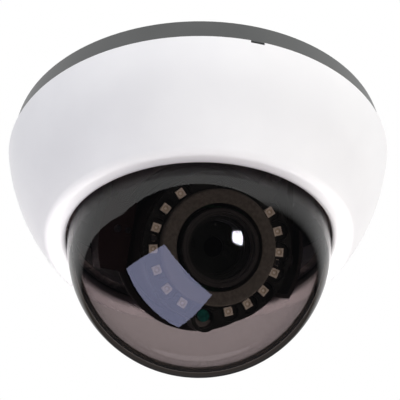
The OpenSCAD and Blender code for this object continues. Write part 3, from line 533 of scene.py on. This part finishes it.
# Place within a square LED, counted from its middle, for LEDs set on a circle about the lens axis
def ledPlaceGroup():
    group, start, end = newGroup(
        "ledPlace",
        [("Vector", "NodeSocketVector", None), ("First", "NodeSocketFloat", 0.0),
         ("Step", "NodeSocketFloat", 1.0), ("Ring", "NodeSocketFloat", 0.01)],
        [("Across", "NodeSocketFloat"), ("Outwards", "NodeSocketFloat")],
    )
    split = put(group, "ShaderNodeSeparateXYZ", (-800, 0))
    wire(group, start.outputs["Vector"], split.inputs[0])
    down = mathNode(group, "MULTIPLY", (-700, -150), split.outputs["Y"], -1.0)
    bearing = mathNode(group, "ARCTAN2", (-600, 0), split.outputs["X"], down)
    turn = mathNode(group, "ABSOLUTE", (-500, 0), bearing)
    fromFirst = mathNode(group, "SUBTRACT", (-400, 0), turn, start.outputs["First"])
    steps = mathNode(group, "DIVIDE", (-300, 0), fromFirst, start.outputs["Step"])
    count = mathNode(group, "ROUND", (-200, 0), steps)
    whole = mathNode(group, "MULTIPLY", (-100, 0), count, start.outputs["Step"])
    rest = mathNode(group, "SUBTRACT", (0, 0), fromFirst, whole)
    flat = put(group, "ShaderNodeCombineXYZ", (-600, -300))
    wire(group, split.outputs["X"], flat.inputs["X"])
    wire(group, split.outputs["Y"], flat.inputs["Y"])
    radius = put(group, "ShaderNodeVectorMath", (-400, -300), operation="LENGTH")
    wire(group, flat.outputs[0], radius.inputs[0])
    far = radius.outputs["Value"]
    across = mathNode(group, "MULTIPLY", (200, 100), mathNode(group, "SINE", (100, 100), rest), far)
    reach = mathNode(group, "MULTIPLY", (200, -100), mathNode(group, "COSINE", (100, -100), rest), far)
    wire(group, across, end.inputs["Across"])
    outwards = mathNode(group, "SUBTRACT", (400, -100), reach, start.outputs["Ring"])
    wire(group, outwards, end.inputs["Outwards"])
    return group


ledPlace = ledPlaceGroup()
ledPackage = {
    "first": math.radians(21.6),  # from the light sensor to the first LED, about the lens axis
    "step": math.radians(18.7),
    "ring": 0.023,
    "well": 0.00108,  # radius of the round well in the package
    "chip": 0.00036,  # half the side of the chip in the well
    "body": (0.74, 0.70, 0.56),
    "pale": (0.86, 0.82, 0.68),
    "resin": (0.62, 0.57, 0.42),
    "die": (0.95, 0.93, 0.84),
    "bodyRough": 0.42,
    "resinRough": 0.10,
    "grain": 2600.0,
    "cloud": 420.0,
    "dust": 0.02,
    "relief": 0.2,
    "grainDepth": 0.00003,
}


def ledMaterial(v):
    material, tree, out = blankMaterial("ledPackage")
    surface = put(tree, "ShaderNodeBsdfPrincipled", (550, 0))
    place = surfacePlace(tree, onFace=True)
    grain, cloud, dust = v["grain"], v["cloud"], v["dust"]
    skin = useGroup(tree, mouldedSkin, (-800, 0), place, Grain=grain, Cloud=cloud, Dust=dust)
    first, step, ring = v["first"], v["step"], v["ring"]
    spot = useGroup(tree, ledPlace, (-800, -400), place, First=first, Step=step, Ring=ring)
    offsets = [spot.outputs["Across"], spot.outputs["Outwards"]]
    tone = remap(tree, skin.outputs["Tone"], 0.35, 0.65, 0.0, 1.0, (-500, 200))
    body = mixColours(tree, tone, v["body"], v["pale"], (-300, 300))
    squares = [
        mathNode(tree, "MULTIPLY", (-600, -300 - 150 * row), offset, offset)
        for row, offset in enumerate(offsets)
    ]
    reach = mathNode(tree, "SQRT", (-300, -300), mathNode(tree, "ADD", (-450, -300), *squares))
    inWell = remap(tree, reach, v["well"] * 0.9, v["well"], 1.0, 0.0, (-100, -250))
    sides = [
        mathNode(tree, "ABSOLUTE", (-600, -650 - 150 * row), offset)
        for row, offset in enumerate(offsets)
    ]
    furthest = mathNode(tree, "MAXIMUM", (-300, -600), *sides)
    onChip = mathNode(tree, "LESS_THAN", (-100, -600), furthest, v["chip"])
    filled = mixColours(tree, inWell, body, v["resin"], (0, 250))
    wire(tree, mixColours(tree, onChip, filled, v["die"], (250, 250)), surface.inputs["Base Color"])
    rough = remap(tree, inWell, 0.0, 1.0, v["bodyRough"], v["resinRough"], (250, 50))
    wire(tree, rough, surface.inputs["Roughness"])
    bump = bumpOf(tree, skin.outputs["Height"], v["relief"], v["grainDepth"], (250, -300))
    wire(tree, bump, surface.inputs["Normal"])
    wire(tree, surface.outputs[0], out.inputs["Surface"])
    return material


# Shares of light thrown back and lost, from head on to grazing: a front face throws its share back, and a
# back face, where the light leaves the wall, only loses it
def throwBack(tree, headOn, place):
    facing = put(tree, "ShaderNodeLayerWeight", place)
    facing.inputs["Blend"].default_value = 0.5
    x, y = place
    grazing = mathNode(tree, "POWER", (x + 200, y), facing.outputs["Facing"], 5.0)
    share = mathNode(tree, "MULTIPLY_ADD", (x + 400, y), grazing, 1.0 - headOn)
    share.node.inputs[2].default_value = headOn
    behind = put(tree, "ShaderNodeNewGeometry", (x + 200, y + 250)).outputs["Backfacing"]
    front = mathNode(tree, "SUBTRACT", (x + 400, y + 250), 1.0, behind)
    thrown = mathNode(tree, "MULTIPLY", (x + 600, y + 100), share, front)
    lost = mathNode(tree, "MULTIPLY", (x + 600, y - 100), share, behind)
    return facing.outputs["Facing"], thrown, lost


smokedDome = {
    "tint": (0.703, 0.667, 0.667),  # light that gets through one face of the wall, head on
    "edge": (0.21, 0.185, 0.165),  # rim of the bubble, where the wall is seen along its length: partly real absorption along the longer path, partly painted shade standing in for the dark band that refraction in the thick wall shows
    "edgeFrom": 0.70,
    "edgeTo": 0.735,
    "shine": 0.048,  # share of light that the outer face throws back, head on
    "rough": 0.006,
    "hazier": 3,  # times rougher where the haze is thick
    "hairline": 0.012,  # light that a cleaning mark scatters
    "hairlineCut": 0.66,
}


def domeMaterial(v):
    material, tree, out = blankMaterial("smokedDome")
    place = surfacePlace(tree)
    marks = useGroup(tree, wipeMarks, (-1000, -200), place, Cut=v["hairlineCut"])
    facing, thrown, lost = throwBack(tree, v["shine"], (-1000, 500))
    # Across a narrow band near the silhouette the see-through tint turns dark: painted shade for the dark
    # band that refraction in the thick wall shows, together with real absorption along the wall
    along = remap(tree, facing, v["edgeFrom"], v["edgeTo"], 0.0, 1.0, (-600, 150))
    rim = mixColours(tree, along, v["tint"], v["edge"], (-200, 300))
    clear = put(tree, "ShaderNodeBsdfTransparent", (0, 200))
    wire(tree, mixColours(tree, lost, rim, (0.0, 0.0, 0.0), (-50, 350)), clear.inputs["Color"])
    gloss = put(tree, "ShaderNodeBsdfGlossy", (0, -50))
    gloss.inputs["Color"].default_value = (1, 1, 1, 1)
    high = v["rough"] * v["hazier"]
    rough = remap(tree, marks.outputs["Haze"], 0.3, 0.8, v["rough"], high, (-300, -100))
    wire(tree, rough, gloss.inputs["Roughness"])
    scratched = mathNode(tree, "MULTIPLY_ADD", (-300, -350), marks.outputs["Mask"], v["hairline"])
    wire(tree, thrown, scratched.node.inputs[2])
    mix = put(tree, "ShaderNodeMixShader", (400, 100))
    wire(tree, scratched, mix.inputs[0])
    wire(tree, clear.outputs[0], mix.inputs[1])
    wire(tree, gloss.outputs[0], mix.inputs[2])
    wire(tree, mix.outputs[0], out.inputs["Surface"])
    return material


glassFinishes = {
    "lensGlass": {"tint": (0.90, 0.93, 0.92), "coat": (0.75, 0.85, 1.0), "shine": 0.02, "rough": 0.02},
    "rearGlass": {"tint": (0.80, 0.72, 0.78), "coat": (1.0, 0.35, 0.5), "shine": 0.03, "rough": 0.03},
    "filterGlass": {"tint": (0.55, 0.25, 0.30), "coat": (1.0, 0.3, 0.35), "shine": 0.05, "rough": 0.03},
}


glassSkin = {"rings": 4000.0, "deeper": 0.92, "rougher": 1.6}


def glassMaterial(name, finish, v):
    material, tree, out = blankMaterial(name)
    place = surfacePlace(tree, onFace=True)
    rings = useGroup(tree, turnedRings, (-800, -200), place, Rings=v["rings"])
    thrown = throwBack(tree, finish["shine"], (-800, 500))[1]
    clear = put(tree, "ShaderNodeBsdfTransparent", (0, 200))
    deeper = tuple(share * v["deeper"] for share in finish["tint"])
    tint = mixColours(tree, rings.outputs["Tone"], finish["tint"], deeper, (-300, 200))
    wire(tree, tint, clear.inputs["Color"])
    gloss = put(tree, "ShaderNodeBsdfGlossy", (0, -50))
    gloss.inputs["Color"].default_value = (*finish["coat"], 1.0)
    low, high = finish["rough"], finish["rough"] * v["rougher"]
    rough = remap(tree, rings.outputs["Tone"], 0.3, 0.7, low, high, (-300, -100))
    wire(tree, rough, gloss.inputs["Roughness"])
    mix = put(tree, "ShaderNodeMixShader", (400, 100))
    wire(tree, thrown, mix.inputs[0])
    wire(tree, clear.outputs[0], mix.inputs[1])
    wire(tree, gloss.outputs[0], mix.inputs[2])
    wire(tree, mix.outputs[0], out.inputs["Surface"])
    return material


finishes = {name: plasticMaterial(name, finish, plasticSkin) for name, finish in plasticFinishes.items()}
finishes.update({name: metalMaterial(name, finish, metalSkin) for name, finish in metalFinishes.items()})
finishes["lensMetal"] = lensMetalMaterial(lensMetal)
for name, onFace in (("circuitBoard", False), ("ledCircuitBoard", True)):
    finishes[name] = boardMaterial(name, boards[name], boardSkin, onFace)
finishes["photocell"] = photocellMaterial(photocell)
finishes["ledPackage"] = ledMaterial(ledPackage)
finishes["smokedDome"] = domeMaterial(smokedDome)
finishes.update({name: glassMaterial(name, finish, glassSkin) for name, finish in glassFinishes.items()})
print("finishes made:", len(finishes))

dressed = {
    "charcoalPlastic": ["base_plate", "conduit_plug"],
    "whitePlastic": ["cover_shell", "dome_ring"],
    "blackPlastic": [
        "turntable", "yoke_arm_left", "yoke_arm_right", "cradle", "module_housing", "lens_mount",
    ],
    "earPlastic": ["ear_plate"],
    "bezelPlastic": ["led_bezel", "aperture_ring"],
    "greenPlastic": ["terminal_block"],
    "ivoryPlastic": ["video_socket"],
    "nylon": ["tilt_washers"],
    "greyCeramic": ["light_sensor_seat"],
    "capacitorSleeve": ["board_capacitors"],
    "circuitBoard": ["power_board", "sensor_board"],
    "ledCircuitBoard": ["led_board"],
    "sensorChip": ["image_sensor"],
    "photocell": ["light_sensor"],
    "ledPackage": ["ir_leds"],
    "foamRubber": ["base_seal", "light_shield"],
    "softRubber": ["cable_grommet"],
    "clearSilicone": ["dome_gasket"],
    "steelScrews": [
        "power_board_screws", "pan_retainer_screws", "yoke_screws", "tilt_screws", "sensor_board_screws",
        "zoom_lock", "focus_lock", "dome_ring_screws", "ear_plate_screws",
    ],
    "brightScrews": ["bezel_screws"],
    "steelPlate": ["pan_retainer", "rotation_clip"],
    "lensMetal": ["lens_tube", "zoom_ring", "focus_ring", "front_barrel", "lens_retainer"],
    "smokedDome": ["dome"],
    "lensGlass": ["front_lens"],
    "rearGlass": ["rear_lens_group"],
    "filterGlass": ["ir_cut_filter"],
}
for finish, names in dressed.items():
    for name in names:
        for slot in nodes[name].material_slots:
            slot.material = finishes[finish]
undressed = sorted(set(nodes) - {name for names in dressed.values() for name in names})
if undressed:
    raise ValueError(f"no finish for {undressed}")
print("nodes dressed:", sum(len(names) for names in dressed.values()))

stage = {
    "ceiling": {"front": -0.205, "back": 1.3, "left": -1.2, "right": 1.0, "height": 0.001},
    "bounce": {
        "front": -0.205, "back": 0.28, "left": -0.37, "right": 0.35, "height": 0.0015,
        "fade": {"X": 0.2, "Y": 0.28},
    },
    "floor": {"height": -0.95, "half": 4.0, "colour": (0.80, 0.80, 0.81)},
    "worldSeen": (0.80, 0.80, 0.81),
    "worldFelt": (0.035, 0.036, 0.040),
}


# A flat panel that looks down and glows; it is clear from behind, and can fade out towards two of its edges
def makePanel(name, v):
    bpy.ops.object.select_all(action="DESELECT")
    bpy.ops.mesh.primitive_plane_add(size=1)
    panel = bpy.context.object
    panel.name = name
    panel.scale = (v["right"] - v["left"], v["back"] - v["front"], 1)
    panel.rotation_euler = (math.pi, 0, 0)
    panel.location = ((v["right"] + v["left"]) / 2, (v["back"] + v["front"]) / 2, v["height"])
    bpy.ops.object.transform_apply(location=True, rotation=True, scale=True)
    material, tree, out = blankMaterial(name + "Paint")
    glow = put(tree, "ShaderNodeEmission", (0, 100))
    glow.inputs["Color"].default_value = (1, 1, 1, 1)
    if "fade" in v:
        place = put(tree, "ShaderNodeSeparateXYZ", (-800, 100))
        wire(tree, surfacePlace(tree), place.inputs[0])
        across, back = (
            remap(tree, place.outputs[way], v[edge] - v["fade"][way], v[edge], 1.0, 0.0, (-500, high))
            for way, edge, high in (("X", "right", 100), ("Y", "back", -200))
        )
        wire(tree, mathNode(tree, "MULTIPLY", (-200, 0), across, back), glow.inputs["Strength"])
    clear = put(tree, "ShaderNodeBsdfTransparent", (0, -100))
    behind = put(tree, "ShaderNodeNewGeometry", (0, 300))
    mix = put(tree, "ShaderNodeMixShader", (400, 0))
    wire(tree, behind.outputs["Backfacing"], mix.inputs[0])
    wire(tree, glow.outputs[0], mix.inputs[1])
    wire(tree, clear.outputs[0], mix.inputs[2])
    wire(tree, mix.outputs[0], out.inputs["Surface"])
    panel.data.materials.append(material)
    return panel


def makeFloor(v):
    bpy.ops.object.select_all(action="DESELECT")
    bpy.ops.mesh.primitive_plane_add(size=2 * v["half"], location=(0, 0, v["height"]))
    floor = bpy.context.object
    floor.name = "floor"
    bpy.ops.object.transform_apply(location=True, rotation=True, scale=True)
    material, tree, out = blankMaterial("floorPaint")
    paint = put(tree, "ShaderNodeEmission", (0, 0))
    paint.inputs["Color"].default_value = (*v["colour"], 1)
    wire(tree, paint.outputs[0], out.inputs["Surface"])
    floor.data.materials.append(material)
    floor.visible_diffuse = False
    floor.visible_glossy = False
    floor.visible_shadow = False


def makeWorld(seen, felt):
    world = bpy.data.worlds.new("studio")
    bpy.context.scene.world = world
    world.use_nodes = True
    tree = world.node_tree
    tree.nodes.clear()
    out = put(tree, "ShaderNodeOutputWorld", (400, 0))
    path = put(tree, "ShaderNodeLightPath", (-400, 200))
    pale = put(tree, "ShaderNodeBackground", (0, 100))
    pale.inputs["Color"].default_value = (*seen, 1)
    dim = put(tree, "ShaderNodeBackground", (0, -100))
    dim.inputs["Color"].default_value = (*felt, 1)
    mix = put(tree, "ShaderNodeMixShader", (200, 0))
    wire(tree, path.outputs["Is Camera Ray"], mix.inputs[0])
    wire(tree, dim.outputs[0], mix.inputs[1])
    wire(tree, pale.outputs[0], mix.inputs[2])
    wire(tree, mix.outputs[0], out.inputs["Surface"])


ceiling = makePanel("ceilingPanel", stage["ceiling"])
ceiling.visible_diffuse = False
ceiling.visible_glossy = False
bounce = makePanel("bouncePanel", stage["bounce"])
bounce.visible_camera = False
makeFloor(stage["floor"])
makeWorld(stage["worldSeen"], stage["worldFelt"])

domeCentre = Vector((0, 0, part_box("cover_shell")[0].z))
lamps = {
    "softBox": {
        "way": (-0.430, -0.281, -0.858), "along": (0.675, 0.53, -0.513), "far": 0.5, "size": (0.56, 0.41),
        "power": 2.9, "colour": (0.63, 0.66, 1.0), "seen": True, "only": ["dome"],
    },
    "catchLight": {
        "way": (0.86, -0.503, -0.084), "along": (0, 0, 1), "far": 0.5, "size": (0.2, 0.2),
        "power": 40, "colour": (1.0, 1.0, 1.0), "seen": True, "only": ["front_lens"], "shape": "DISK",
    },
    "frontFill": {
        "way": (0.35, -0.83, -0.45), "along": (1, 0, 0), "far": 0.9, "size": (0.5, 0.5),
        "power": 4.2, "colour": (1.0, 0.98, 0.96), "seen": False,
    },
    "rightFill": {
        "way": (0.85, -0.45, -0.28), "along": (0.45, 0.85, 0), "far": 0.9, "size": (0.6, 0.6),
        "power": 3.0, "colour": (1.0, 0.97, 0.95), "seen": False,
    },
    "leftFill": {
        "way": (-0.80, -0.50, -0.35), "along": (0.5, -0.8, 0), "far": 0.9, "size": (0.6, 0.6),
        "power": 3.0, "colour": (0.90, 0.90, 1.0), "seen": False,
    },
    "backFill": {
        "way": (0.0, 0.60, -0.80), "along": (1, 0, 0), "far": 0.9, "size": (0.6, 0.6),
        "power": 14.0, "colour": (1.0, 0.96, 0.95), "seen": False,
    },
}


def addLamp(name, v):
    data = bpy.data.lights.new(name, "AREA")
    data.shape = v.get("shape", "RECTANGLE")
    data.size, data.size_y = v["size"]
    data.energy = v["power"]
    data.color = v["colour"]
    lamp = bpy.data.objects.new(name, data)
    bpy.context.scene.collection.objects.link(lamp)
    away = Vector(v["way"]).normalized()
    along = Vector(v["along"])
    along = (along - along.dot(away) * away).normalized()
    turn = Matrix((along, away.cross(along), away)).transposed().to_4x4()
    lamp.matrix_world = Matrix.Translation(domeCentre + away * v["far"]) @ turn
    lamp.visible_camera = False
    lamp.visible_glossy = v["seen"]
    if "only" in v:
        lit = bpy.data.collections.new(name + "Lit")
        for node in v["only"]:
            lit.objects.link(nodes[node])
        lamp.light_linking.receiver_collection = lit


for name, values in lamps.items():
    addLamp(name, values)
print("stage and lamps set")
